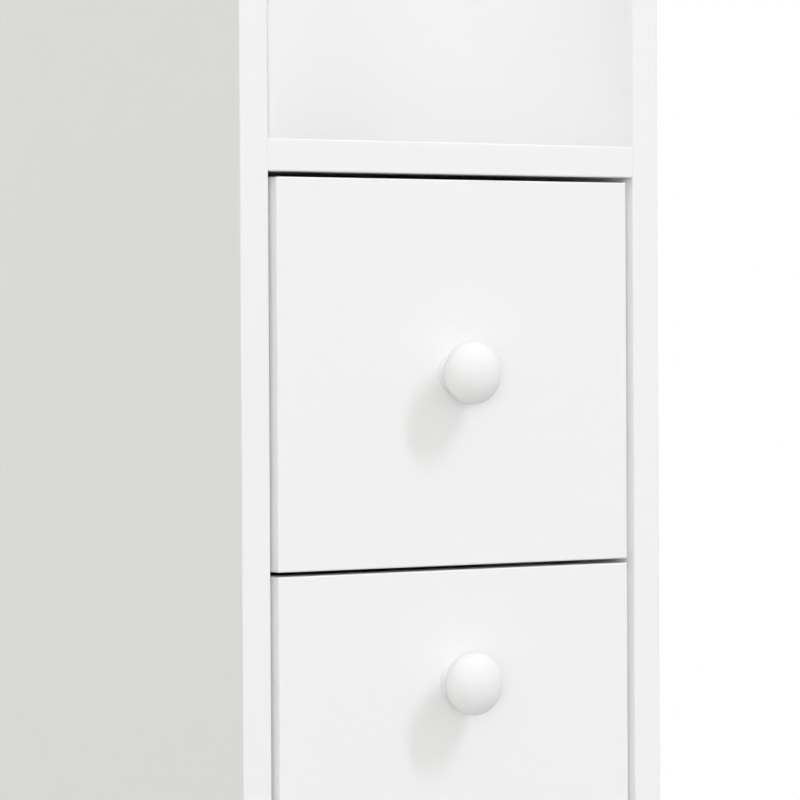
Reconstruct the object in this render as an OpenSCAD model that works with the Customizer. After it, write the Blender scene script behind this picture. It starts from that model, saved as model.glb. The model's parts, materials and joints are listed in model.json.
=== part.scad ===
// Slim bathroom storage tower: two open compartments over three drawers, each drawer with a round
// knob and on a pair of roller slides. Millimetres, +Z up, front towards -Y, centred in X.
// Inside the modules Y is measured back from the front edges of the side panels.

/* [Carcass] */
// Width over the two side panels
body_w = 250; // [230:5:400]
// Depth of the side panels
body_d = 400; // [330:5:500]
// Height from the floor to the top
body_h = 1600; // [1500:10:1900]
// Thickness of the carcass boards and drawer fronts
board_t = 16; // [15:0.5:19]
// Radius of the eased edges of the boards
edge_r = 0.8; // [0.6:0.1:2]
// Height of the kickboard
kick_h = 60; // [50:5:100]
// How far the kickboard stands behind the front edges
kick_inset = 20; // [10:5:50]
// Height of the glides under the side panels
glide_h = 4; // [3:0.5:8]
// Diameter of a glide
glide_d = 13; // [10:0.5:14]
// Diameter of a glide's stem
glide_stem_d = 5; // [4:0.5:6]
// Length of a glide's stem
glide_stem_l = 12; // [8:1:16]
// Distance from a glide to the front or rear edge
glide_inset = 40; // [20:5:80]

/* [Back panels] */
// Thickness of the back panels
back_t = 3; // [2.5:0.5:5]
// Distance from the back panels to the rear edges
back_inset = 10; // [8:1:20]
// Depth of the groove for the back panels
groove_d = 6; // [4:0.5:8]
// Clearance of a thin panel in its groove
groove_slack = 0.2; // [0.1:0.05:0.4]

/* [Open compartments] */
// Clearance at each end of the adjustable shelf
shelf_slack = 0.7; // [0.4:0.1:1.5]
// How far the adjustable shelf stands behind the front edges
shelf_setback = 6; // [0:1:30]
// Clearance between the adjustable shelf and the back panel
shelf_back_gap = 1.5; // [1:0.5:5]
// Diameter of a shelf pin
pin_d = 5; // [4:0.5:6]
// Depth of a pin in the side panel
pin_depth = 9; // [7:0.5:10]
// Length of a pin under the shelf
pin_reach = 8; // [6:0.5:12]
// Distance from one pin hole to the next
pin_pitch = 32; // [25:1:40]
// Pin holes above and below the one in use
pin_spares = 2; // [0:1:3]
// Distance of the pin holes from the front and the back panel
pin_inset = 50; // [30:5:80]

/* [Drawers] */
// Height of the front of the upper drawer
upper_front_h = 194.4; // [180:0.2:210]
// Height of the fronts of the middle and lower drawers
deep_front_h = 305.1; // [290:0.1:320]
// Height of the box of the upper drawer
upper_box_h = 140; // [110:5:150]
// Height of the boxes of the middle and lower drawers
deep_box_h = 240; // [200:5:250]
// Gap over the upper front and under the lower one
end_gap = 2.7; // [1.5:0.1:4]
// Gap between one front and the next
front_gap = 2.3; // [1.2:0.1:4]
// Gap between a front and the side panel
side_gap = 4.5; // [2:0.1:6]
// Thickness of the sides and back of a drawer box
box_t = 12; // [11:0.5:15]
// How far a box stands above the lower edge of its front
box_lift = 14; // [10:1:20]
// Thickness of a drawer bottom
base_t = 3; // [2.5:0.5:5]
// Space between the drawer boxes and the back panel
box_back_gap = 21; // [5:1:60]
// Height of a drawer bottom above the lower edge of its box
base_lift = 10; // [8:1:15]
// Depth of the groove for a drawer bottom
base_groove_d = 5; // [3:0.5:6]

/* [Knobs] */
// Diameter of the knob's head
knob_d = 31.8; // [26:0.2:40]
// Thickness of the knob's head
knob_head_t = 19.2; // [12:0.2:24]
// Distance from the drawer front to the end of the knob
knob_reach = 24.2; // [22:0.2:34]
// Diameter of the knob's foot
knob_foot_d = 22; // [20:0.5:28]
// Thickness of the knob's foot
knob_foot_t = 2; // [1.5:0.1:3]
// Radius of the foot's rounded edge
knob_foot_ease = 1.4; // [0.6:0.1:1.4]
// Diameter of the knob's neck
knob_neck_d = 15; // [10:0.5:18]
// Height of a deep drawer's knob under the upper edge of its front
deep_knob_drop = 56.5; // [40:0.5:100]
// Diameter of the knob screw
knob_screw_d = 4; // [3:0.5:5]
// Depth of the knob screw in the knob
knob_screw_depth = 10; // [7:0.5:12]

/* [Drawer slides] */
// Space between a drawer box and the side panel
slide_space = 12.5; // [12.5:0.1:14]
// Thickness of the rail steel
steel_t = 1.2; // [1:0.1:1.3]
// Distance from the front edges to the cabinet rails
rail_inset = 20; // [18:1:24]
// Width of the channel of a cabinet rail
channel_w = 9.5; // [9.2:0.1:9.8]
// Length of the open mouth of the channel
mouth_l = 30; // [24:1:40]
// Diameter of the front rollers, on the cabinet rails
front_roller_d = 14.4; // [12:0.2:15]
// Diameter of the rear rollers, on the drawer rails
rear_roller_d = 20; // [19:0.2:21]
// Width of a roller
roller_w = 5.5; // [4:0.1:5.6]
// Distance from the side panel to the rollers
roller_gap = 3.5; // [3.4:0.1:3.8]
// Distance from the end of a rail to its roller's axle
axle_inset = 12; // [10:0.5:16]
// Diameter of a roller's axle
axle_d = 4; // [3:0.1:5]
// Radial clearance of a roller on its axle
running_fit = 0.05; // [0.02:0.01:0.1]
// Clearance between a roller and what it rolls on or beside
rolling_gap = 0.3; // [0.2:0.05:0.5]
// Width of the lip under a drawer side
lip_w = 10; // [8:0.5:11]
// Height of that lip above the floor of the channel
lip_lift = 1; // [0.5:0.1:2]

/* [Fasteners] */
// Diameter of a dowel
dowel_d = 8; // [6:0.5:8]
// Length of a dowel in a side panel
dowel_in_side = 10; // [8:0.5:11]
// Length of a dowel in the end of a board
dowel_in_board = 20; // [15:1:25]
// Diameter of a carcass cam lock
cam_d = 15; // [12:0.5:16]
// Distance from a carcass joint to its cam's centre
cam_reach = 34; // [24:1:40]
// Diameter of a drawer's cam lock
small_cam_d = 12; // [10:0.5:13]
// Distance from a drawer's front to the centre of its cam
small_cam_reach = 24; // [18:1:30]
// Diameter of a cam bolt's head
bolt_head_d = 6.5; // [6:0.1:7]
// Diameter of a cam bolt's shank and thread
bolt_d = 5; // [4:0.1:5.5]
// Length of a cam bolt's thread
bolt_thread_l = 11; // [8:0.5:12]
// Diameter of a wood screw
screw_d = 3.5; // [3:0.1:4]
// Diameter of a wood screw's head
screw_head_d = 6; // [5:0.2:6.4]
// Length of a rail screw
rail_screw_l = 10; // [8:0.5:10.5]
// Length of the screws through the drawer sides
box_screw_l = 35; // [25:1:45]
// Diameter of a nail
nail_d = 1.6; // [1.2:0.1:2]
// Diameter of a nail's head
nail_head_d = 4; // [3:0.2:5]
// Length of a nail
nail_l = 18; // [15:1:20]
// Radial clearance of a fastener in its hole
hole_fit = 0.05; // [0.02:0.01:0.1]
// Spare depth at the end of a blind hole
hole_spare = 1; // [0.5:0.1:1.5]

/* [Wall bracket] */
// Width of the bracket
bracket_w = 40; // [30:1:60]
// Length of each leg
bracket_leg = 40; // [30:1:60]
// Thickness of the bracket
bracket_t = 2; // [1.5:0.1:3]
// Diameter of the hole for the wall screw
wall_hole_d = 5.5; // [4:0.1:7]
// Diameter of the clearance hole behind it in the back panel
wall_pass_d = 8; // [7.5:0.5:12]
// Distance between the two screws into the top panel
bracket_screw_gap = 22; // [16:1:26]

/* [Hidden] */
ARC = 48;                                   // segments of a round part
EASE = 24;                                  // segments of an eased edge
CUT = 1;                                    // how far a cutter runs past a face
WHITE = "whitesmoke";
KNOB_WHITE = "white";
FIBREBOARD = "gainsboro";
COATED_STEEL = "ghostwhite";
ZINC = "silver";
BEECH = "burlywood";
NYLON = "mintcream";

inner_w = body_w - 2 * board_t;
inner_d = body_d - back_inset - back_t;
rail_l = inner_d - board_t - box_back_gap;  // the rails are as long as the drawer boxes
side_h = body_h - glide_h;
front_y = (knob_reach - body_d) / 2;        // places the origin under the middle of the whole tower

bottom_z = glide_h + kick_h;
lower_z = bottom_z + board_t + end_gap;
middle_z = lower_z + deep_front_h + front_gap;
upper_z = middle_z + deep_front_h + front_gap;
shelf_z = upper_z + upper_front_h + end_gap;
top_z = body_h - board_t;
loose_z = (shelf_z + top_z) / 2;            // underside of the adjustable shelf
back_split_z = shelf_z + board_t / 2;       // the two back panels meet behind the fixed shelf
back_play = 0.5;                            // between those two panels, and at the ends of both
nail_inset = 20;                            // from the side panels

cam_inset = 50;                             // cam bolts from the front and the back panel
dowel_inset = 85;
cam_at = [cam_inset, inner_d - cam_inset];
dowel_at = [dowel_inset, inner_d - dowel_inset];
rail_dowel_z = [for (s = [-1, 1]) bottom_z - kick_h / 2 + s * kick_h / 4];
cam_roof = 4.5;                             // how far a carcass cam reaches past its bolt's axis
small_cam_roof = 3.5;
nail_x = [for (k = [-1:1]) k * (inner_w / 2 - nail_inset)];
nail_edge = 4;                              // distance of a nail from a board's upper or lower face

pin_at = [pin_inset, inner_d - pin_inset];
pin_z = loose_z - pin_d / 2;
plate_t = 1.6;                              // plate of a shelf pin
plate_w = 10;

front_w = inner_w - 2 * side_gap;
box_w = inner_w - 2 * slide_space;
box_inner_w = box_w - 2 * box_t;
box_end = board_t + rail_l;                 // rear face of a drawer box
upper_knob_drop = upper_front_h / 2;

joint_low = 35;                             // joints of a box above its lower edge
joint_high = 30;                            // and below its upper edge

// name, height of the front's lower edge, front height, box height, knob's drop
DRAWERS = [
    ["upper", upper_z, upper_front_h, upper_box_h, upper_knob_drop],
    ["middle", middle_z, deep_front_h, deep_box_h, deep_knob_drop],
    ["lower", lower_z, deep_front_h, deep_box_h, deep_knob_drop]
];
function name_of(drawer) = drawer[0];
function front_z(drawer) = drawer[1];
function front_h(drawer) = drawer[2];
function box_h(drawer) = drawer[3];
function knob_z(drawer) = drawer[1] + drawer[2] - drawer[4];
function box_z(drawer) = front_z(drawer) + box_lift;
function channel_z(drawer) = box_z(drawer) - steel_t - lip_lift;
function box_joint_z(drawer) = [box_z(drawer) + joint_low, box_z(drawer) + box_h(drawer) - joint_high];

channel_h = rear_roller_d + 2 * rolling_gap;
front_axle = [rail_inset + axle_inset, rolling_gap + front_roller_d / 2];      // back, up
rear_axle = [box_end - axle_inset, rolling_gap + rear_roller_d / 2];
hook_z = front_roller_d + 2 * rolling_gap;  // underside of the drawer rail's hook
hook_gap = roller_gap - rolling_gap;        // distance from the side panel to the hook
stop_y = rear_axle[0] + rear_roller_d / 2 + rolling_gap;
stop_h = 8;                                 // tab that stops the rear roller
hook_end_gap = 3;                           // between the hook and the rear roller
rail_head_t = 0.9;                          // thin heads clear the rollers
rivet_rim = 1.2;
rivet_d = axle_d + 2 * rivet_rim;
rivet_t = 0.6;
screw_inset = [40, 50];                     // from the front and rear ends of a rail
screw_spots = [screw_inset[0], rail_l / 2, rail_l - screw_inset[1]];
screw_head_t = 2.2;
knob_screw_head_d = 8;
recess_depth = 1;
recess_w = 0.8;
recess_share = 0.8;                         // width across the recess over the shank's diameter

// ---- shared shapes ----

// Moves a piece from depth coordinates to the tower's own origin
module placed() translate([0, front_y, 0]) children();

// The children are drawn at the left side panel: X runs inwards from its inner face
module on_side(side) {
    mirror([side == "right" ? 1 : 0, 0, 0])
        translate([-inner_w / 2, 0, 0]) children();
}

module on_both_sides() for (side = ["left", "right"]) on_side(side) children();

module eased_rect(size) {
    translate([edge_r, 0]) square([size.x - 2 * edge_r, size.y]);
    translate([0, edge_r]) square([size.x, size.y - 2 * edge_r]);
    for (x = [edge_r, size.x - edge_r], y = [edge_r, size.y - edge_r])
        translate([x, y]) circle(edge_r, $fn = EASE);
}

// A board from the origin with all its edges eased
module board(size) {
    intersection() {
        linear_extrude(size.z) eased_rect([size.x, size.y]);
        rotate([90, 0, 90]) linear_extrude(size.x) eased_rect([size.y, size.z]);
        translate([0, size.y, 0]) rotate([90, 0, 0]) linear_extrude(size.y) eased_rect([size.x, size.z]);
    }
}

// Round bar along +X
module bar(d, l) rotate([0, 90, 0]) cylinder(d = d, h = l, $fn = ARC);

// Round bar along +Y
module rod(d, l) rotate([-90, 0, 0]) cylinder(d = d, h = l, $fn = ARC);

// Blind hole along -X from the plane X = 0
module side_hole(y, z, d, depth) translate([-depth, y, z]) bar(d + 2 * hole_fit, depth + CUT);

// Cross recess for a screwdriver in a head that faces along X, for a shank of diameter d
module cross_recess(d) {
    for (turn = [0, 90])
        rotate([turn, 0, 0]) cube([2 * recess_depth, recess_w, recess_share * d], center = true);
}

// ---- cam joints: the joint's face is X = 0, the bolt lies on the X axis, the cam opens down ----

module cam_bolt(reach) {
    neck_l = 4.5;
    neck_d = bolt_d - 1.5;
    head = [-2, 1.5];                       // from the cam's centre
    shank_l = reach + head[0] - neck_l;
    translate([-bolt_thread_l, 0, 0]) bar(bolt_d, bolt_thread_l + shank_l);
    translate([shank_l, 0, 0]) bar(neck_d, neck_l);
    translate([reach + head[0], 0, 0]) bar(bolt_head_d, head[1] - head[0]);
}

module cam_bolt_bore(reach) bar(bolt_head_d + 4 * hole_fit, reach);

module cam_hole(reach, d, floor_z, roof) {
    translate([reach, 0, -floor_z - CUT]) cylinder(d = d, h = floor_z + CUT + roof, $fn = ARC);
}

// Cam with a mouth for the bolt's head and a cross slot for the screwdriver
module cam_lock(reach, d, floor_z, roof) {
    mouth = bolt_head_d + 0.6;
    mouth_end = 2.5;
    slot_w = 1.8;
    slot_depth = 2;
    slot = [0.6 * d, slot_w, 2 * slot_depth];
    difference() {
        translate([reach, 0, -floor_z])
            cylinder(d = d - 2 * hole_fit, h = floor_z + roof - hole_fit, $fn = ARC);
        translate([reach - d, -mouth / 2, -mouth / 2]) cube([d + mouth_end, mouth, mouth]);
        for (turn = [0, 90])
            translate([reach, 0, -floor_z]) rotate([0, 0, turn])
                cube(slot, center = true);
    }
}

module at_board_cams(z0) {
    for (y = cam_at) translate([0, y, z0 + board_t / 2]) children();
}

module at_carcass_cams() {
    on_both_sides() for (z0 = [bottom_z, shelf_z, top_z]) at_board_cams(z0) children();
}

// ---- dowels ----

module dowel() translate([-dowel_in_side, 0, 0]) bar(dowel_d, dowel_in_side + dowel_in_board);

module dowel_bore() bar(dowel_d + 2 * hole_fit, dowel_in_board + hole_spare);

module at_board_dowels(z0) {
    for (y = dowel_at) translate([0, y, z0 + board_t / 2]) children();
}

module at_rail_dowels(y) {
    for (z = rail_dowel_z) translate([0, y, z]) children();
}

kick_mid = kick_inset + board_t / 2;
rear_rail_mid = inner_d - board_t / 2;

module at_carcass_dowels() {
    on_both_sides() {
        for (z0 = [bottom_z, shelf_z, top_z]) at_board_dowels(z0) children();
        for (y = [kick_mid, rear_rail_mid]) at_rail_dowels(y) children();
    }
}

// ---- nails through the back panels: the head is flush with their rear face ----

nail_head_t = 0.8;
shelf_nail_z = [shelf_z + nail_edge, shelf_z + board_t - nail_edge];

module at_back_nails(heights) {
    for (x = nail_x, z = heights) translate([x, inner_d + back_t, z]) children();
}

module nail(fit = 0) {
    translate([0, -nail_l, 0]) rod(nail_d + 2 * fit, nail_l);
    translate([0, -nail_head_t, 0]) rod(nail_head_d + 2 * fit, nail_head_t + (fit > 0 ? CUT : 0));
}

// ---- carcass ----

module glide_stem() cylinder(d = glide_stem_d, h = glide_stem_l, $fn = ARC);

module at_glides() {
    for (y = [glide_inset, body_d - glide_inset]) translate([-board_t / 2, y, 0]) children();
}

module side_panel(side) {
    color(WHITE) placed() on_side(side) difference() {
        translate([-board_t, 0, glide_h]) board([board_t, body_d, side_h]);
        translate([-groove_d, inner_d - groove_slack / 2, 0])
            cube([groove_d + CUT, back_t + groove_slack, body_h + CUT]);
        for (z0 = [bottom_z, shelf_z, top_z], y = cam_at)
            side_hole(y, z0 + board_t / 2, bolt_d, bolt_thread_l + hole_spare);
        for (z0 = [bottom_z, shelf_z, top_z], y = dowel_at)
            side_hole(y, z0 + board_t / 2, dowel_d, dowel_in_side + hole_spare);
        for (y = [kick_mid, rear_rail_mid], z = rail_dowel_z)
            side_hole(y, z, dowel_d, dowel_in_side + hole_spare);
        for (y = pin_at, k = [-pin_spares:pin_spares])
            side_hole(y, pin_z + k * pin_pitch, pin_d, pin_depth + hole_spare);
        for (drawer = DRAWERS, y = screw_spots)
            side_hole(rail_inset + y, screw_z(drawer), screw_d, rail_screw_l + hole_spare);
        at_glides() translate([0, 0, glide_h - CUT])
            cylinder(d = glide_stem_d + 2 * hole_fit, h = CUT + glide_stem_l + hole_spare, $fn = ARC);
    }
}

// A board fixed between the side panels
module fixed_board(z0) {
    difference() {
        translate([-inner_w / 2, 0, z0]) board([inner_w, inner_d, board_t]);
        on_both_sides() {
            at_board_cams(z0) {
                cam_bolt_bore(cam_reach);
                cam_hole(cam_reach, cam_d, board_t / 2, cam_roof);
            }
            at_board_dowels(z0) dowel_bore();
        }
        children();
    }
}

module top_panel() {
    color(WHITE) placed() fixed_board(top_z) {
        at_back_nails([top_z + board_t / 2]) nail(hole_fit);
        at_bracket_screws() bracket_screw(hole_fit);
    }
}

module bottom_panel() {
    color(WHITE) placed() fixed_board(bottom_z) at_back_nails([bottom_z + board_t / 2]) nail(hole_fit);
}

module fixed_shelf() {
    color(WHITE) placed() fixed_board(shelf_z) at_back_nails(shelf_nail_z) nail(hole_fit);
}

module adjustable_shelf() {
    loose_w = inner_w - 2 * shelf_slack;
    loose_d = inner_d - shelf_setback - shelf_back_gap;
    color(WHITE) placed() translate([-loose_w / 2, shelf_setback, loose_z]) board([loose_w, loose_d, board_t]);
}

// A low board on edge between the side panels, under the bottom panel
module low_rail(y) {
    color(WHITE) placed() difference() {
        translate([-inner_w / 2, y - board_t / 2, glide_h]) board([inner_w, board_t, kick_h]);
        on_both_sides() at_rail_dowels(y) dowel_bore();
    }
}

// A thin panel in the grooves of the side panels, from one height to another
module back_panel(low, high) {
    back_w = inner_w + 2 * (groove_d - back_play);
    translate([-back_w / 2, inner_d, low]) cube([back_w, back_t, high - low]);
}

module upper_back_panel() {
    color(FIBREBOARD) placed() difference() {
        back_panel(back_split_z + back_play / 2, body_h - back_play);
        at_back_nails([shelf_nail_z[1], top_z + board_t / 2]) nail(hole_fit);
        translate([0, inner_d - CUT, wall_hole_z]) rod(wall_pass_d, back_t + 2 * CUT);
    }
}

module lower_back_panel() {
    color(FIBREBOARD) placed() difference() {
        back_panel(bottom_z, back_split_z - back_play / 2);
        at_back_nails([shelf_nail_z[0], bottom_z + board_t / 2]) nail(hole_fit);
    }
}

module cam_locks() {
    color(ZINC) placed() at_carcass_cams() cam_lock(cam_reach, cam_d, board_t / 2, cam_roof);
}

module cam_bolts() color(ZINC) placed() at_carcass_cams() cam_bolt(cam_reach);

module wood_dowels() color(BEECH) placed() at_carcass_dowels() dowel();

module back_nails() {
    color(ZINC) placed()
        at_back_nails(concat(shelf_nail_z, [bottom_z + board_t / 2, top_z + board_t / 2])) nail();
}

module foot_glides() {
    color(NYLON) placed() on_both_sides() at_glides() {
        cylinder(d = glide_d, h = glide_h, $fn = ARC);
        translate([0, 0, glide_h]) glide_stem();
    }
}

module shelf_pins() {
    color(ZINC) placed() on_both_sides() for (y = pin_at) {
        translate([-pin_depth, y, pin_z]) bar(pin_d, pin_depth + pin_reach);
        translate([rolling_gap, y - plate_w / 2, loose_z - plate_t]) cube([pin_reach, plate_w, plate_t]);
    }
}

// ---- wall bracket, inside the upper compartment ----

wall_hole_z = top_z - bracket_leg + wall_pass_d + CUT;
bracket_screw_l = 12;

module at_bracket_screws() {
    for (s = [-1, 1])
        translate([s * bracket_screw_gap / 2, inner_d - bracket_leg / 2, top_z]) children();
}

// Wood screw along +Z: the head lies under the bracket, the origin on the top panel's underside
module bracket_screw(fit = 0) {
    translate([0, 0, -bracket_t])
        cylinder(d = screw_d + 2 * fit, h = bracket_t + bracket_screw_l + (fit > 0 ? hole_spare : 0), $fn = ARC);
    translate([0, 0, -bracket_t - screw_head_t]) cylinder(d = screw_head_d, h = screw_head_t, $fn = ARC);
}

module bracket_screws() {
    color(ZINC) placed() at_bracket_screws() difference() {
        bracket_screw();
        translate([0, 0, -bracket_t - screw_head_t]) rotate([0, 90, 0]) cross_recess(screw_d);
    }
}

module wall_bracket() {
    color(ZINC) placed() difference() {
        translate([-bracket_w / 2, inner_d - bracket_leg, top_z - bracket_leg]) difference() {
            cube([bracket_w, bracket_leg, bracket_leg]);
            translate([-CUT, -CUT, -CUT])
                cube([bracket_w + 2 * CUT, bracket_leg - bracket_t + CUT, bracket_leg - bracket_t + CUT]);
        }
        at_bracket_screws() bracket_screw(hole_fit);
        translate([0, inner_d - bracket_t - CUT, wall_hole_z]) rod(wall_hole_d, bracket_t + 2 * CUT);
    }
}

// ---- roller slides ----

function screw_z(drawer) = channel_z(drawer) + channel_h / 2;
function lip_screw_z(drawer) = box_z(drawer) + screw_head_d;

// Roller along +X with a shallow ring sunk in each face, between its tread and its hub
module roller(d) {
    ring_depth = 0.6;
    tread_t = 1.5;
    hub_d = rivet_d + 1;
    difference() {
        bar(d, roller_w);
        translate([-CUT, 0, 0]) bar(axle_d + 2 * running_fit, roller_w + 2 * CUT);
        for (x = [-CUT, roller_w - ring_depth]) translate([x, 0, 0]) difference() {
            bar(d - 2 * tread_t, CUT + ring_depth);
            bar(hub_d, CUT + ring_depth);
        }
    }
}

// Axle along +X with a shoulder at its foot and a rivet head at its end
module axle(shoulder_l) {
    span = roller_w + 2 * rolling_gap;
    bar(rivet_d, shoulder_l);
    bar(axle_d, shoulder_l + span + rivet_t);
    translate([shoulder_l + span, 0, 0]) bar(rivet_d, rivet_t);
}

module cabinet_rail(drawer, side) {
    color(COATED_STEEL) placed() on_side(side) translate([0, 0, channel_z(drawer)]) difference() {
        union() {
            translate([0, rail_inset, -steel_t]) cube([steel_t, rail_l, channel_h + 2 * steel_t]);
            translate([0, rail_inset, -steel_t]) cube([channel_w, rail_l, steel_t]);
            translate([0, rail_inset + mouth_l, channel_h]) cube([channel_w, rail_l - mouth_l, steel_t]);
            translate([0, stop_y, -steel_t]) cube([channel_w, steel_t, steel_t + stop_h]);
            translate([0, front_axle[0], front_axle[1]]) axle(roller_gap - rolling_gap);
        }
        for (y = screw_spots)
            translate([-CUT, rail_inset + y, channel_h / 2]) bar(screw_d + 2 * hole_fit, steel_t + 2 * CUT);
    }
}

module front_rollers(drawer) {
    color(NYLON) placed() on_both_sides()
        translate([roller_gap, front_axle[0], channel_z(drawer) + front_axle[1]]) roller(front_roller_d);
}

// Screw into the side of a board along -X: the underside of its head is the plane X = 0
module rail_screw() {
    difference() {
        union() {
            translate([-rail_screw_l, 0, 0]) bar(screw_d, rail_screw_l);
            bar(screw_head_d, rail_head_t);
        }
        translate([rail_head_t, 0, 0]) cross_recess(screw_d);
    }
}

module rail_screws() {
    color(ZINC) placed() on_both_sides() for (drawer = DRAWERS, y = screw_spots)
        translate([steel_t, rail_inset + y, screw_z(drawer)]) rail_screw();
}

module drawer_rail(drawer, side) {
    web_x = slide_space - steel_t;
    hook_l = rear_axle[0] - rear_roller_d / 2 - hook_end_gap - board_t;
    color(COATED_STEEL) placed() on_side(side) translate([0, 0, channel_z(drawer)]) difference() {
        union() {
            translate([web_x, board_t, lip_lift]) cube([steel_t, rail_l, hook_z + steel_t - lip_lift]);
            translate([web_x, board_t, lip_lift]) cube([steel_t + lip_w, rail_l, steel_t]);
            translate([hook_gap, board_t, hook_z]) cube([slide_space - hook_gap, hook_l, steel_t]);
            translate([web_x, rear_axle[0], rear_axle[1]])
                mirror([1, 0, 0]) axle(web_x - roller_gap - roller_w - rolling_gap);
        }
        for (y = screw_spots)
            translate([web_x - CUT, board_t + y, lip_screw_z(drawer) - channel_z(drawer)])
                bar(screw_d + 2 * hole_fit, steel_t + 2 * CUT);
    }
}

module rear_rollers(drawer) {
    color(NYLON) placed() on_both_sides()
        translate([roller_gap, rear_axle[0], channel_z(drawer) + rear_axle[1]]) roller(rear_roller_d);
}

// ---- drawers ----

// The children are drawn at the left side of a box: X runs inwards from its outer face
module on_box_side(side) on_side(side) translate([slide_space, 0, 0]) children();

// Turns a cam joint drawn along X so that it runs back from a drawer's front, in a box side
module at_front_joints(drawer) {
    for (z = box_joint_z(drawer))
        translate([box_t / 2, board_t, z]) rotate([-90, 0, 0]) rotate([0, -90, 0]) children();
}

// Screws through a box side into the end of the box's back
module at_back_joints(drawer) {
    for (z = box_joint_z(drawer)) translate([0, box_end - box_t / 2, z]) children();
}

// Countersunk screw along +X from the plane X = 0
module box_screw(fit = 0) {
    sink = (screw_head_d - screw_d) / 2;
    bar(screw_d + 2 * fit, box_screw_l + (fit > 0 ? hole_spare : 0));
    rotate([0, 90, 0])
        cylinder(d1 = screw_head_d + 2 * fit, d2 = screw_d + 2 * fit, h = sink, $fn = ARC);
}

// Nails up through the drawer bottom into the box's back: the origin is under the bottom
module at_base_nails(drawer) {
    for (s = [-1, 1])
        translate([s * box_inner_w / 4, box_end - box_t / 2, box_z(drawer) + base_lift]) children();
}

module base_nail(fit = 0) {
    cylinder(d = nail_d + 2 * fit, h = nail_l, $fn = ARC);
    translate([0, 0, fit > 0 ? -CUT : 0])
        cylinder(d = nail_head_d + 2 * fit, h = nail_head_t + (fit > 0 ? CUT : 0), $fn = ARC);
}

module at_lip_screws(drawer) {
    for (y = screw_spots) translate([0, board_t + y, lip_screw_z(drawer)]) children();
}

// Space for the drawer bottom in the sides and the front
module base_groove(drawer) {
    groove_w = box_inner_w + 2 * base_groove_d;
    translate([-groove_w / 2, board_t - base_groove_d, box_z(drawer) + base_lift - groove_slack / 2])
        cube([groove_w, rail_l + base_groove_d + CUT, base_t + groove_slack]);
}

module drawer_front(drawer) {
    color(WHITE) placed() difference() {
        translate([-front_w / 2, 0, front_z(drawer)]) board([front_w, board_t, front_h(drawer)]);
        base_groove(drawer);
        for (side = ["left", "right"]) on_box_side(side) at_front_joints(drawer)
            translate([-bolt_thread_l - hole_spare, 0, 0]) bar(bolt_d + 2 * hole_fit, 2 * bolt_thread_l);
        translate([0, -CUT, knob_z(drawer)]) rod(knob_screw_d + 4 * hole_fit, board_t + 2 * CUT);
    }
}

// Half of the knob's section: X is the radius, Y the distance from the drawer front
module knob_section() {
    head_r = knob_d / 2;
    head_mid = knob_reach - knob_head_t / 2;
    neck_r = knob_neck_d / 2;
    face_r = knob_foot_d / 2 - knob_foot_ease;
    cove_r = face_r - neck_r;
    back_angle = -acos(neck_r / head_r);
    head_steps = 28;
    square([face_r, knob_foot_t]);
    intersection() {
        square([knob_foot_d / 2, knob_foot_t]);
        union() {
            square([knob_foot_d / 2, knob_foot_t - knob_foot_ease]);
            translate([face_r, knob_foot_t - knob_foot_ease]) circle(knob_foot_ease, $fn = EASE);
        }
    }
    difference() {
        square([face_r, knob_foot_t + cove_r]);
        translate([face_r, knob_foot_t + cove_r]) circle(cove_r, $fn = ARC);
    }
    square([neck_r, head_mid]);
    polygon(concat([[0, head_mid]], [for (k = [0:head_steps])
        let (turn = back_angle + (90 - back_angle) * k / head_steps)
            [head_r * cos(turn), head_mid + knob_head_t / 2 * sin(turn)]]));
}

module drawer_knob(drawer) {
    color(KNOB_WHITE) placed() translate([0, 0, knob_z(drawer)]) difference() {
        rotate([90, 0, 0]) rotate_extrude($fn = 96) knob_section();
        translate([0, -knob_screw_depth - hole_spare, 0])
            rod(knob_screw_d + 2 * hole_fit, knob_screw_depth + hole_spare + CUT);
    }
}

module drawer_side(drawer, side) {
    color(WHITE) placed() difference() {
        on_box_side(side) difference() {
            translate([0, board_t, box_z(drawer)]) board([box_t, rail_l, box_h(drawer)]);
            at_front_joints(drawer) {
                cam_bolt_bore(small_cam_reach);
                cam_hole(small_cam_reach, small_cam_d, box_t / 2, small_cam_roof);
            }
            at_back_joints(drawer) box_screw(hole_fit);
            at_lip_screws(drawer) bar(screw_d + 2 * hole_fit, rail_screw_l);
        }
        base_groove(drawer);
    }
}

module drawer_back(drawer) {
    base_top = box_z(drawer) + base_lift + base_t;
    color(WHITE) placed() difference() {
        translate([-box_inner_w / 2, box_end - box_t, base_top])
            board([box_inner_w, box_t, box_z(drawer) + box_h(drawer) - base_top]);
        for (side = ["left", "right"]) on_box_side(side) at_back_joints(drawer) box_screw(hole_fit);
        at_base_nails(drawer) base_nail(hole_fit);
    }
}

module drawer_bottom(drawer) {
    base_w = box_inner_w + 2 * (base_groove_d - groove_slack);
    color(FIBREBOARD) placed() difference() {
        translate([-base_w / 2, board_t - base_groove_d + groove_slack, box_z(drawer) + base_lift])
            cube([base_w, rail_l + base_groove_d - groove_slack, base_t]);
        at_base_nails(drawer) base_nail(hole_fit);
    }
}

// Screw from inside the drawer through its front into the knob
module knob_screw() {
    difference() {
        union() {
            translate([0, -knob_screw_depth, 0]) rod(knob_screw_d, knob_screw_depth + board_t);
            translate([0, board_t, 0]) rod(knob_screw_head_d, screw_head_t);
        }
        translate([0, board_t + screw_head_t, 0]) rotate([0, 0, 90]) cross_recess(knob_screw_d);
    }
}

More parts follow.
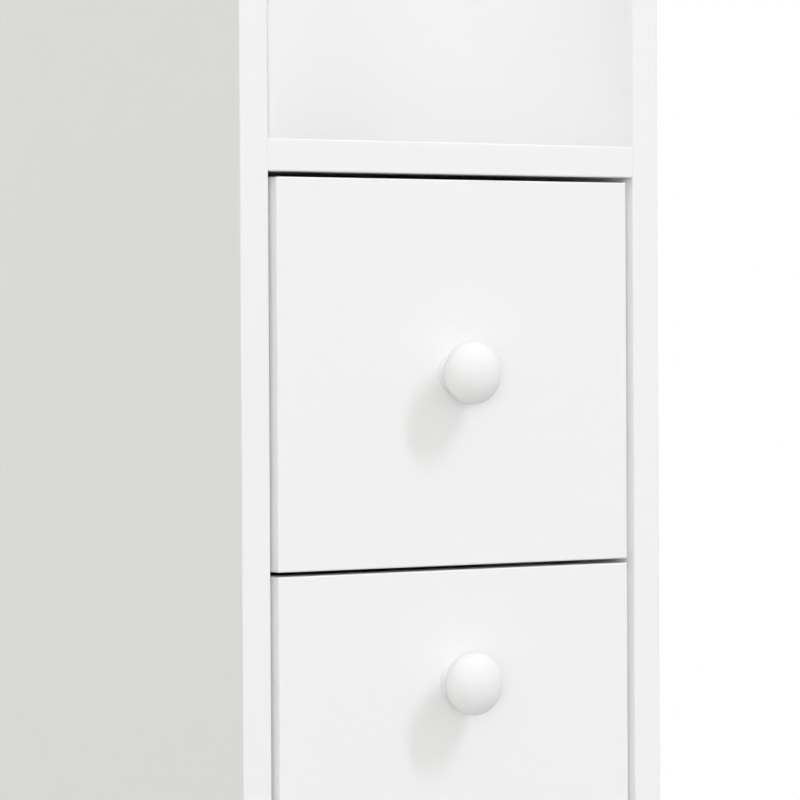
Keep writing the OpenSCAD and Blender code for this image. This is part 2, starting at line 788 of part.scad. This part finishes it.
module drawer_fasteners(drawer) {
    color(ZINC) placed() {
        translate([0, 0, knob_z(drawer)]) knob_screw();
        at_base_nails(drawer) base_nail();
        for (side = ["left", "right"]) {
            on_box_side(side) at_front_joints(drawer) {
                cam_bolt(small_cam_reach);
                cam_lock(small_cam_reach, small_cam_d, box_t / 2, small_cam_roof);
            }
            on_box_side(side) at_back_joints(drawer) difference() {
                box_screw();
                cross_recess(screw_d);
            }
            on_box_side(side) at_lip_screws(drawer)
                translate([-steel_t, 0, 0]) mirror([1, 0, 0]) rail_screw();
        }
    }
}

// ---- nodes ----

side_panel("left");  // left_side_panel
side_panel("right");  // right_side_panel
top_panel();
bottom_panel();
fixed_shelf();
adjustable_shelf();
low_rail(kick_mid);  // kickboard
low_rail(rear_rail_mid);  // rear_rail
upper_back_panel();
lower_back_panel();
cam_locks();
cam_bolts();
wood_dowels();
shelf_pins();
back_nails();
foot_glides();
wall_bracket();
bracket_screws();
rail_screws();
for (drawer = DRAWERS) {
    stem = str(name_of(drawer), "_");
    cabinet_rail(drawer, "left");
    cabinet_rail(drawer, "right");
    front_rollers(drawer);
    drawer_front(drawer);
    drawer_knob(drawer);
    drawer_side(drawer, "left");
    drawer_side(drawer, "right");
    drawer_back(drawer);
    drawer_bottom(drawer);
    drawer_rail(drawer, "left");
    drawer_rail(drawer, "right");
    rear_rollers(drawer);
    drawer_fasteners(drawer);
}
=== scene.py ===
import json
import math

import bmesh
import bpy
from mathutils import Matrix, Vector


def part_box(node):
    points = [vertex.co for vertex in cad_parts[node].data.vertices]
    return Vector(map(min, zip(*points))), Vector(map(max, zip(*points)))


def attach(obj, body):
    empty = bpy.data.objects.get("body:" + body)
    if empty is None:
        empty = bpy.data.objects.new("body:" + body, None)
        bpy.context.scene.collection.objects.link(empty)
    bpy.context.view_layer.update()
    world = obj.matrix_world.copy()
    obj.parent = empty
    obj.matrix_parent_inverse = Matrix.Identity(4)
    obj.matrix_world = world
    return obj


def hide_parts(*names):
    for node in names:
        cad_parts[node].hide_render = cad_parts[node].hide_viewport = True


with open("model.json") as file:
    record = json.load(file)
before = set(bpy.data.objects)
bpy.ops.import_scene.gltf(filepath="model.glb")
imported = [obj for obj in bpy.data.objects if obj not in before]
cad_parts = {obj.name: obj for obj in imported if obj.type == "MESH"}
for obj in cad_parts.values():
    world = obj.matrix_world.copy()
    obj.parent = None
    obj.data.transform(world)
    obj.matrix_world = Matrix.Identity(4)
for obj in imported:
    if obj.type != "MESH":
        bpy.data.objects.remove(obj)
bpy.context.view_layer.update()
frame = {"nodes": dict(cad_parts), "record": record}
nodes = frame["nodes"]

MM = 0.001
DRAWERS = ("upper", "middle", "lower")

# ---- camera, as in the photograph: angles in degrees, lengths in metres ----
CAMERA_YAW, CAMERA_PITCH, CAMERA_ROLL = 31.905, 0.9993, -0.2997
CAMERA_PLACE = Vector((-1.08821, -1.88144, 0.81619))
SENSOR_MM = 36
LENS_MM = 179.69
CAMERA_CLIP = (0.1, 60)

# ---- light: powers in watts, directions as azimuth and elevation in degrees, lengths in metres ----
AROUND_LEVEL, AROUND_TINT = 0.762, (1.0, 1.0, 0.965, 1.0)
FRONT_LEVEL, FRONT_TINT = 11.26, (1.0, 1.0, 1.02, 1.0)
FRONT_PLACE = (-33, 0)
FRONT_FOCUS = 40                             # higher is narrower
KEY_POWER, KEY_TINT = 273, (1.0, 1.0, 1.08)
KEY_ENDS = ((45.6, 41.2), (34.9, 58.6))      # directions of the long lamp's two ends
KEY_DISTANCE, KEY_WIDTH = 10.0, 0.53
FILL_BACK, FILL_UNDER, FILL_SIDE = 0.1122, 0.0241, 0.131    # the three lamps of a compartment
FILL_GAP = 0.25                              # radiance of the strips beside the drawers
FILL_TINT = (0.985, 1.0, 1.0)

# ---- floor, in metres ----
FLOOR_HALF = 30.0
FLOOR_FADE = (1.3, 3.4)                      # it turns white between these distances from the origin

# ---- colours ----
FOIL_WHITE = (0.875, 0.875, 0.872)
LACQUER_WHITE = (0.852, 0.852, 0.85)
PAINT_WHITE = (0.86, 0.86, 0.852)
RAW_BOARD = (0.46, 0.33, 0.21)
HARDBOARD = (0.30, 0.185, 0.105)
COAT_WHITE = (0.83, 0.83, 0.82)
ZINC = (0.62, 0.63, 0.65)
BEECH_LIGHT, BEECH_DARK = (0.62, 0.43, 0.25), (0.50, 0.32, 0.17)
NYLON = (0.80, 0.80, 0.78)
FLOOR_SEEN = (0.84, 0.84, 0.84)
FLOOR_BOUNCE = (0.48, 0.48, 0.48)

# ---- edges ----
SHARP_TURN = math.radians(40)                # an edge that turns by more is a sharp one
RAIL_ROUNDING, BRACKET_ROUNDING = 0.25 * MM, 0.4 * MM
WELD_GAP = 0.002 * MM

# Sockets of the colour Mix node, which shares their names with its other types
MIX_A, MIX_B, MIX_RESULT = 6, 7, 2


# ---- node trees ----

def add(tree, kind, inputs=None, **settings):
    """A node with its settings made and its inputs set, or linked where a socket is given."""
    made = tree.nodes.new(kind)
    for name, value in settings.items():
        setattr(made, name, value)
    for name, value in (inputs or {}).items():
        if isinstance(value, bpy.types.NodeSocket):
            tree.links.new(value, made.inputs[name])
        else:
            made.inputs[name].default_value = value
    return made


def new_material(name):
    """A material with a Principled shader, and its tree, shader and object coordinates in metres."""
    made = bpy.data.materials.new(name)
    made.use_nodes = True
    tree = made.node_tree
    shader = tree.nodes["Principled BSDF"]
    place = tree.nodes.new("ShaderNodeTexCoord").outputs["Object"]
    return made, tree, shader, place


def noise(tree, place, size, detail=2.0, stretch=(1, 1, 1)):
    """Noise from 0 to 1 whose features are about size metres across, longer along a stretched axis."""
    if stretch != (1, 1, 1):
        place = add(tree, "ShaderNodeMapping", {
            "Vector": place, "Scale": [1 / s for s in stretch]}).outputs["Vector"]
    return add(tree, "ShaderNodeTexNoise", {
        "Vector": place, "Scale": 1 / size, "Detail": detail}).outputs["Fac"]


def between(tree, value, low, high, start=0.3, end=0.7):
    """low where the value is start or less, high where it is end or more, and in proportion between."""
    return add(tree, "ShaderNodeMapRange", {
        "Value": value, "From Min": start, "From Max": end,
        "To Min": low, "To Max": high}).outputs["Result"]


def blend_colours(tree, factor, first, second):
    """The first colour where the factor is 0 and the second where it is 1. Each may be a socket."""
    mix = add(tree, "ShaderNodeMix", data_type="RGBA")
    tree.links.new(factor, mix.inputs["Factor"])
    for index, colour in ((MIX_A, first), (MIX_B, second)):
        if isinstance(colour, bpy.types.NodeSocket):
            tree.links.new(colour, mix.inputs[index])
        else:
            mix.inputs[index].default_value = (*colour, 1)
    return mix.outputs[MIX_RESULT]


def bump(tree, height, depth, under=None):
    """Bump of a height from 0 to 1 that stands for a depth in metres, over another bump if given."""
    inputs = {"Height": height, "Distance": depth, "Strength": 1.0}
    if under is not None:
        inputs["Normal"] = under
    return add(tree, "ShaderNodeBump", inputs).outputs["Normal"]


def shade(colour, amount):
    """A colour made darker, or lighter by an amount over 1."""
    return tuple(channel * amount for channel in colour)


def set_shader(tree, shader, **inputs):
    """Sets or links the inputs of a shader, named with _ in place of their spaces."""
    for name, value in inputs.items():
        socket = shader.inputs[name.replace("_", " ")]
        if isinstance(value, bpy.types.NodeSocket):
            tree.links.new(value, socket)
        elif isinstance(value, tuple):
            socket.default_value = (*value, 1)
        else:
            socket.default_value = value


# ---- materials ----

def foil_white():
    """Satin foil: even white, with a very fine orange peel and slow ripples in its gloss."""
    made, tree, shader, place = new_material("white_foil")
    mottle = noise(tree, place, 90 * MM, 3)
    sheen = noise(tree, place, 22 * MM, 3)
    peel = noise(tree, place, 0.9 * MM, 2)
    ripple = noise(tree, place, 30 * MM, 1)
    set_shader(tree, shader,
               Base_Color=blend_colours(tree, mottle, shade(FOIL_WHITE, 0.994), FOIL_WHITE),
               Roughness=between(tree, sheen, 0.40, 0.47),
               Normal=bump(tree, peel, 0.006 * MM, bump(tree, ripple, 0.03 * MM)))
    return made


def raw_board():
    """Sawn and drilled fibreboard inside the holes and grooves: brown, with short pale fibres."""
    made, tree, shader, place = new_material("raw_board")
    fibres = noise(tree, place, 0.5 * MM, 5)
    clouds = noise(tree, place, 6 * MM, 3)
    colour = blend_colours(tree, fibres, shade(RAW_BOARD, 0.8), shade(RAW_BOARD, 1.25))
    set_shader(tree, shader,
               Base_Color=blend_colours(tree, clouds, colour, RAW_BOARD),
               Roughness=between(tree, fibres, 0.82, 0.95),
               Normal=bump(tree, fibres, 0.08 * MM))
    return made


def painted_hardboard():
    """The seen face of a thin hardboard panel: matt white paint that lets a little fibre through."""
    made, tree, shader, place = new_material("painted_hardboard")
    fibre = noise(tree, place, 0.7 * MM, 4)
    mottle = noise(tree, place, 60 * MM, 3)
    set_shader(tree, shader,
               Base_Color=blend_colours(tree, mottle, shade(PAINT_WHITE, 0.99), PAINT_WHITE),
               Roughness=between(tree, fibre, 0.52, 0.60),
               Normal=bump(tree, fibre, 0.012 * MM))
    return made


def raw_hardboard():
    """The rear face of a hardboard panel: brown fibre pressed on a wire screen."""
    made, tree, shader, place = new_material("raw_hardboard")
    fibre = noise(tree, place, 0.6 * MM, 5)
    specks = noise(tree, place, 2.2 * MM, 4)
    clouds = noise(tree, place, 140 * MM, 4)
    dark = blend_colours(tree, fibre, shade(HARDBOARD, 0.78), shade(HARDBOARD, 1.25))
    light = blend_colours(tree, fibre, shade(HARDBOARD, 1.0), shade(HARDBOARD, 1.55))
    patches = blend_colours(tree, between(tree, clouds, 0, 1), dark, light)
    screen_pitch, pitch_at_scale_1 = 1.7 * MM, math.pi / 10
    wires = [add(tree, "ShaderNodeTexWave", {
        "Vector": place, "Scale": pitch_at_scale_1 / screen_pitch, "Distortion": 0.0},
        wave_type="BANDS", bands_direction=axis).outputs["Fac"] for axis in ("X", "Z")]
    screen = add(tree, "ShaderNodeMath", operation="MULTIPLY")
    for socket, wire in zip(screen.inputs, wires):
        tree.links.new(wire, socket)
    set_shader(tree, shader,
               Base_Color=blend_colours(tree, between(tree, specks, 0, 1, 0.55, 0.75), patches,
                                        shade(HARDBOARD, 0.7)),
               Roughness=between(tree, fibre, 0.72, 0.9),
               Normal=bump(tree, screen.outputs["Value"], 0.10 * MM, bump(tree, fibre, 0.06 * MM)))
    return made


def knob_lacquer():
    """Satin lacquer on turned wood: even white, with a slow change of gloss and a very fine grain."""
    made, tree, shader, place = new_material("knob_lacquer")
    mottle = noise(tree, place, 8 * MM, 2)
    grain = noise(tree, place, 0.8 * MM, 2)
    set_shader(tree, shader,
               Base_Color=blend_colours(tree, mottle, shade(LACQUER_WHITE, 0.994), LACQUER_WHITE),
               Roughness=between(tree, mottle, 0.54, 0.60),
               Normal=bump(tree, grain, 0.003 * MM))
    return made


def powder_coat():
    """White powder coat: glossy grains over pressed steel."""
    made, tree, shader, place = new_material("powder_coat")
    grain = noise(tree, place, 0.8 * MM, 2)
    wear = noise(tree, place, 14 * MM, 4)
    set_shader(tree, shader,
               Base_Color=blend_colours(tree, wear, shade(COAT_WHITE, 0.97), COAT_WHITE),
               Roughness=between(tree, grain, 0.34, 0.48),
               Normal=bump(tree, grain, 0.03 * MM))
    return made


def zinc_plate():
    """Bright zinc plate: cool grey metal with cloudy gloss and fine drawing marks."""
    made, tree, shader, place = new_material("zinc_plate")
    clouds = noise(tree, place, 5 * MM, 4)
    marks = noise(tree, place, 0.25 * MM, 3, (6, 1, 1))
    set_shader(tree, shader,
               Base_Color=blend_colours(tree, clouds, shade(ZINC, 0.88), shade(ZINC, 1.08)),
               Metallic=1.0,
               Roughness=between(tree, clouds, 0.26, 0.42),
               Normal=bump(tree, marks, 0.006 * MM))
    return made


def beech_wood():
    """Raw beech with its grain along X and small dark flecks."""
    made, tree, shader, place = new_material("beech_wood")
    grain = noise(tree, place, 0.8 * MM, 4, (12, 1, 1))
    flecks = noise(tree, place, 0.4 * MM, 2, (5, 1, 1))
    colour = blend_colours(tree, grain, BEECH_LIGHT, BEECH_DARK)
    set_shader(tree, shader,
               Base_Color=blend_colours(tree, between(tree, flecks, 0, 0.6, 0.6, 0.8), colour,
                                        shade(BEECH_DARK, 0.6)),
               Roughness=between(tree, grain, 0.62, 0.75),
               Normal=bump(tree, grain, 0.05 * MM))
    return made


def moulded_nylon():
    """Moulded nylon, slightly milky, with a dull skin."""
    made, tree, shader, place = new_material("moulded_nylon")
    skin = noise(tree, place, 1.2 * MM, 2)
    flow = noise(tree, place, 9 * MM, 2)
    set_shader(tree, shader,
               Base_Color=blend_colours(tree, flow, shade(NYLON, 0.97), NYLON),
               Roughness=between(tree, skin, 0.40, 0.52),
               Normal=bump(tree, skin, 0.01 * MM))
    return made


FOIL, CORE = foil_white(), raw_board()
PAINTED, HARD = painted_hardboard(), raw_hardboard()
SINGLE = {
    "white_lacquer": knob_lacquer(),
    "coated_steel": powder_coat(),
    "zinc_plated_steel": zinc_plate(),
    "beech": beech_wood(),
    "white_nylon": moulded_nylon(),
}
SLOTS = {row["node"]: row["material_slot"] for row in frame["record"]["subparts"]}


def set_materials(mesh, *materials):
    """Gives a mesh these materials, in this order, in place of its own."""
    mesh.materials.clear()
    for each in materials:
        mesh.materials.append(each)


def finish_board(name):
    """Foil on a board's outside. What lies deeper than its eased edges is raw: a hole or a groove."""
    low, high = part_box(name)
    skin = 1.4 * MM
    mesh = nodes[name].data
    set_materials(mesh, FOIL, CORE)
    for face in mesh.polygons:
        centre = face.center
        depth = min(min(centre[i] - low[i], high[i] - centre[i]) for i in range(3))
        face.material_index = 1 if depth > skin else 0


def finish_hardboard(name, seen_side):
    """White paint on the face that points to seen_side, and raw fibre on the rest."""
    mesh = nodes[name].data
    least_cosine = 0.9
    set_materials(mesh, PAINTED, HARD)
    for face in mesh.polygons:
        face.material_index = 0 if face.normal.dot(Vector(seen_side)) > least_cosine else 1


def finish_nodes():
    """Materials on every CAD node, by its slot in the record."""
    for name, slot in SLOTS.items():
        if slot == "white_foil_board":
            finish_board(name)
        elif slot == "white_fibreboard":
            finish_hardboard(name, (0, 0, 1) if name.endswith("bottom") else (0, -1, 0))
        else:
            set_materials(nodes[name].data, SINGLE[slot])


# ---- edges of the pressed steel pieces ----

def soften(name, radius, segments=2):
    """Rounds a node's sharp edges, with modifiers."""
    node = nodes[name]
    weld = node.modifiers.new("weld", "WELD")
    weld.merge_threshold = WELD_GAP
    bevel = node.modifiers.new("bevel", "BEVEL")
    bevel.width = radius
    bevel.segments = segments
    bevel.limit_method = "ANGLE"
    bevel.angle_limit = SHARP_TURN
    bevel.harden_normals = True


# ---- knobs ----

def arc(centre, radii, start, end, steps):
    """Points on an ellipse's arc, its angles in degrees."""
    turns = [math.radians(start + (end - start) * k / steps) for k in range(steps + 1)]
    return [(centre[0] + radii[0] * math.cos(turn), centre[1] + radii[1] * math.sin(turn))
            for turn in turns]


def knob_profile(radius, reach):
    """Points from the end of the knob to its foot: (radius, distance out from the drawer front)."""
    head_t, neck_r = 19.2 * MM, 7.5 * MM
    foot_r, foot_t, ease = 11 * MM, 2 * MM, 1.4 * MM
    head_steps, edge_steps = 44, 10
    face_r = foot_r - ease
    cove_r = face_r - neck_r
    neck_turn = -math.degrees(math.acos(neck_r / radius))
    head = arc((0, reach - head_t / 2), (radius, head_t / 2), 90, neck_turn, head_steps)
    cove = arc((face_r, foot_t + cove_r), (cove_r, cove_r), 180, 270, edge_steps)
    edge = arc((face_r, foot_t - ease), (ease, ease), 90, 0, edge_steps)
    return head + cove + edge[1:] + [(foot_r, 0)]


def lathe(name, points, centre, wall_y, turns=128):
    """A solid turned about an axis along Y through centre, from its end to its flat foot at wall_y."""
    turned = bmesh.new()
    step = 2 * math.pi / turns
    around = [(math.cos(step * k), math.sin(step * k)) for k in range(turns)]
    tip = turned.verts.new((centre.x, wall_y - points[0][1], centre.z))
    rings = [[turned.verts.new((centre.x + radius * x, wall_y - out, centre.z + radius * z))
              for x, z in around]
             for radius, out in points[1:]]
    for k in range(turns):
        after = (k + 1) % turns
        turned.faces.new((tip, rings[0][k], rings[0][after]))
        for first, second in zip(rings, rings[1:]):
            turned.faces.new((first[k], second[k], second[after], first[after]))
    turned.faces.new(rings[-1])
    bmesh.ops.recalc_face_normals(turned, faces=turned.faces)
    mesh = bpy.data.meshes.new(name)
    turned.to_mesh(mesh)
    turned.free()
    mesh.shade_smooth()
    mesh.set_sharp_from_angle(angle=SHARP_TURN)
    return mesh


def make_knob(drawer):
    """A turned knob in place of the CAD one, on the same centre line and of the same size."""
    node = f"{drawer}_drawer_knob"
    low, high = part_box(node)
    name = f"{drawer}_turned_knob"
    mesh = lathe(name, knob_profile((high.x - low.x) / 2, high.y - low.y), (low + high) / 2, high.y)
    set_materials(mesh, SINGLE["white_lacquer"])
    knob = bpy.data.objects.new(name, mesh)
    bpy.context.scene.collection.objects.link(knob)
    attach(knob, f"{drawer}_drawer")
    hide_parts(node)


# ---- stage ----

def shown_rays(tree):
    """1 for rays that show the background: the camera's, and those in gloss and glass."""
    path = tree.nodes.new("ShaderNodeLightPath")
    shown = path.outputs["Is Camera Ray"]
    for kind in ("Is Glossy Ray", "Is Transmission Ray"):
        shown = add(tree, "ShaderNodeMath", {
            0: shown, 1: path.outputs[kind]}, operation="MAXIMUM").outputs["Value"]
    return shown


def make_floor():
    """A pale floor that shows the tower's shadow and turns white, as the background, further out."""
    corners = [(x * FLOOR_HALF, y * FLOOR_HALF, 0) for x, y in ((-1, -1), (1, -1), (1, 1), (-1, 1))]
    mesh = bpy.data.meshes.new("floor")
    mesh.from_pydata(corners, [], [(0, 1, 2, 3)])
    floor = bpy.data.objects.new("floor", mesh)
    bpy.context.scene.collection.objects.link(floor)
    made = bpy.data.materials.new("pale_floor")
    made.use_nodes = True
    tree = made.node_tree
    tree.nodes.remove(tree.nodes["Principled BSDF"])
    shown = shown_rays(tree)
    colour = blend_colours(tree, shown, FLOOR_BOUNCE, FLOOR_SEEN)
    lit = add(tree, "ShaderNodeBsdfDiffuse", {"Color": colour}).outputs["BSDF"]
    white = add(tree, "ShaderNodeEmission", {
        "Color": (1, 1, 1, 1), "Strength": 1.0}).outputs["Emission"]
    place = tree.nodes.new("ShaderNodeTexCoord").outputs["Object"]
    reach = add(tree, "ShaderNodeVectorMath", {0: place}, operation="LENGTH").outputs["Value"]
    rim = between(tree, reach, 0, 1, *FLOOR_FADE)
    faded = add(tree, "ShaderNodeMath", {0: rim, 1: shown}, operation="MULTIPLY").outputs["Value"]
    mixed = add(tree, "ShaderNodeMixShader", {0: faded, 1: lit, 2: white}).outputs["Shader"]
    tree.links.new(mixed, tree.nodes["Material Output"].inputs["Surface"])
    set_materials(mesh, made)


def towards(azimuth, elevation):
    """Unit vector in a direction: azimuth 0 is to the front and 90 to the right, seen from the front."""
    a, e = math.radians(azimuth), math.radians(elevation)
    return Vector((math.sin(a) * math.cos(e), -math.cos(a) * math.cos(e), math.sin(e)))


def make_world():
    """Soft light from all round, more from the front left, and a white background for the camera."""
    world = bpy.data.worlds.new("studio")
    bpy.context.scene.world = world
    world.use_nodes = True
    tree = world.node_tree
    around = tree.nodes["Background"]
    around.inputs["Color"].default_value = AROUND_TINT
    around.inputs["Strength"].default_value = AROUND_LEVEL
    direction = tree.nodes.new("ShaderNodeTexCoord").outputs["Generated"]
    facing = add(tree, "ShaderNodeVectorMath", {
        0: direction, 1: towards(*FRONT_PLACE)}, operation="DOT_PRODUCT").outputs["Value"]
    ahead = add(tree, "ShaderNodeMath", {0: facing, 1: 0.0}, operation="MAXIMUM").outputs["Value"]
    lobe = add(tree, "ShaderNodeMath", {0: ahead, 1: FRONT_FOCUS}, operation="POWER").outputs["Value"]
    strength = add(tree, "ShaderNodeMath", {
        0: lobe, 1: FRONT_LEVEL}, operation="MULTIPLY").outputs["Value"]
    front = add(tree, "ShaderNodeBackground", {"Color": FRONT_TINT, "Strength": strength})
    soft = add(tree, "ShaderNodeAddShader", {
        0: around.outputs["Background"], 1: front.outputs["Background"]})
    white = add(tree, "ShaderNodeBackground", {"Color": (1, 1, 1, 1), "Strength": 1.0})
    mixed = add(tree, "ShaderNodeMixShader", {
        0: shown_rays(tree), 1: soft.outputs["Shader"], 2: white.outputs["Background"]})
    tree.links.new(mixed.outputs["Shader"], tree.nodes["World Output"].inputs["Surface"])


def area_lamp(name, place, facing, along, length, width, power, tint):
    """A rectangular lamp at place that shines in the direction facing. Its length follows along."""
    data = bpy.data.lights.new(name, "AREA")
    data.shape = "RECTANGLE"
    data.size, data.size_y = length, width
    data.energy = power
    data.color = tint
    lamp = bpy.data.objects.new(name, data)
    z_axis = -facing.normalized()
    x_axis = (along - along.dot(z_axis) * z_axis).normalized()
    lamp.matrix_world = Matrix.Translation(place) @ Matrix(
        (x_axis, z_axis.cross(x_axis), z_axis)).transposed().to_4x4()
    lamp.visible_camera = False
    bpy.context.scene.collection.objects.link(lamp)
    return lamp


def make_key():
    """A long narrow softbox, up on the right in front."""
    ends = [towards(*angles) for angles in KEY_ENDS]
    middle = (ends[0] + ends[1]).normalized()
    low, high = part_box("upper_drawer_front")
    aim = (low + high) / 2
    length = 2 * KEY_DISTANCE * math.tan(ends[0].angle(ends[1]) / 2)
    area_lamp("key", aim + middle * KEY_DISTANCE, -middle, ends[1] - ends[0], length, KEY_WIDTH,
              KEY_POWER, KEY_TINT)


def make_fills():
    """Soft light inside each open compartment, from its back, its floor and its left side."""
    levels = [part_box(name) for name in ("fixed_shelf", "adjustable_shelf", "top_panel")]
    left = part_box("left_side_panel")[1].x
    front, back = levels[0][0].y, levels[0][1].y
    width, depth, middle_y = -2 * left, back - front, (front + back) / 2
    wall_off, floor_off = 4 * MM, 1 * MM
    back_off, side_gap = 10.5 * MM, 0.5 * MM     # leaves the corners behind this lamp dim
    deep_share, wide_share, back_share, side_share = 0.96, 0.985, 0.96, 0.92
    outwards, upwards, across = Vector((0, -1, 0)), Vector((0, 0, 1)), Vector((1, 0, 0))
    for number, (under, over) in enumerate(zip(levels, levels[1:])):
        floor_z, roof_z = under[1].z, over[0].z
        middle_z, height = (floor_z + roof_z) / 2, roof_z - floor_z
        lamps = (
            ("back", Vector((0, back - back_off, middle_z)), outwards, across,
             width - 2 * side_gap, back_share * height, FILL_BACK),
            ("under", Vector((0, middle_y, floor_z + floor_off)), upwards, outwards,
             deep_share * depth, wide_share * width, FILL_UNDER),
            ("side", Vector((left + wall_off, middle_y, middle_z)), across, outwards,
             deep_share * depth, side_share * height, FILL_SIDE))
        for where, place, facing, along, length, breadth, power in lamps:
            lamp = area_lamp(
                f"fill_{where}_{number}", place, facing, along, length, breadth, power, FILL_TINT)
            lamp.visible_glossy = False


def make_gap_fills():
    """Soft light in the gaps at the two sides of each drawer front, on the faces that point left."""
    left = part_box("left_side_panel")[1].x
    off, deep, across = 0.2 * MM, 8 * MM, Vector((1, 0, 0))
    for drawer in DRAWERS:
        low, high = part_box(f"{drawer}_drawer_front")
        height = high.z - low.z
        for side, x in (("left", left + off), ("right", high.x + off)):
            place = Vector((x, low.y + deep / 2, (low.z + high.z) / 2))
            lamp = area_lamp(
                f"fill_{side}_of_{drawer}_drawer", place, across, Vector((0, -1, 0)), deep, height,
                math.pi * deep * height * FILL_GAP, FILL_TINT)
            lamp.visible_glossy = False


def make_camera():
    """The photograph's camera, from its place and its three angles."""
    yaw, pitch, roll = (math.radians(a) for a in (CAMERA_YAW, CAMERA_PITCH, CAMERA_ROLL))
    ahead = Vector((math.sin(yaw) * math.cos(pitch), math.cos(yaw) * math.cos(pitch), -math.sin(pitch)))
    level = Vector((math.cos(yaw), -math.sin(yaw), 0))
    above = level.cross(ahead)
    right = math.cos(roll) * level + math.sin(roll) * above
    up = math.cos(roll) * above - math.sin(roll) * level
    data = bpy.data.cameras.new("camera")
    data.sensor_width, data.lens = SENSOR_MM, LENS_MM
    data.clip_start, data.clip_end = CAMERA_CLIP
    camera = bpy.data.objects.new("camera", data)
    camera.matrix_world = Matrix.Translation(CAMERA_PLACE) @ Matrix(
        (right, up, -ahead)).transposed().to_4x4()
    bpy.context.scene.collection.objects.link(camera)
    bpy.context.scene.camera = camera


bpy.context.scene.view_settings.view_transform = "Standard"
finish_nodes()
for drawer in DRAWERS:
    make_knob(drawer)
    for piece in ("cabinet_rail_left", "cabinet_rail_right", "drawer_rail_left", "drawer_rail_right"):
        soften(f"{drawer}_{piece}", RAIL_ROUNDING)
soften("wall_bracket", BRACKET_ROUNDING, segments=3)
make_floor()
make_world()
make_key()
make_fills()
make_gap_fills()
make_camera()
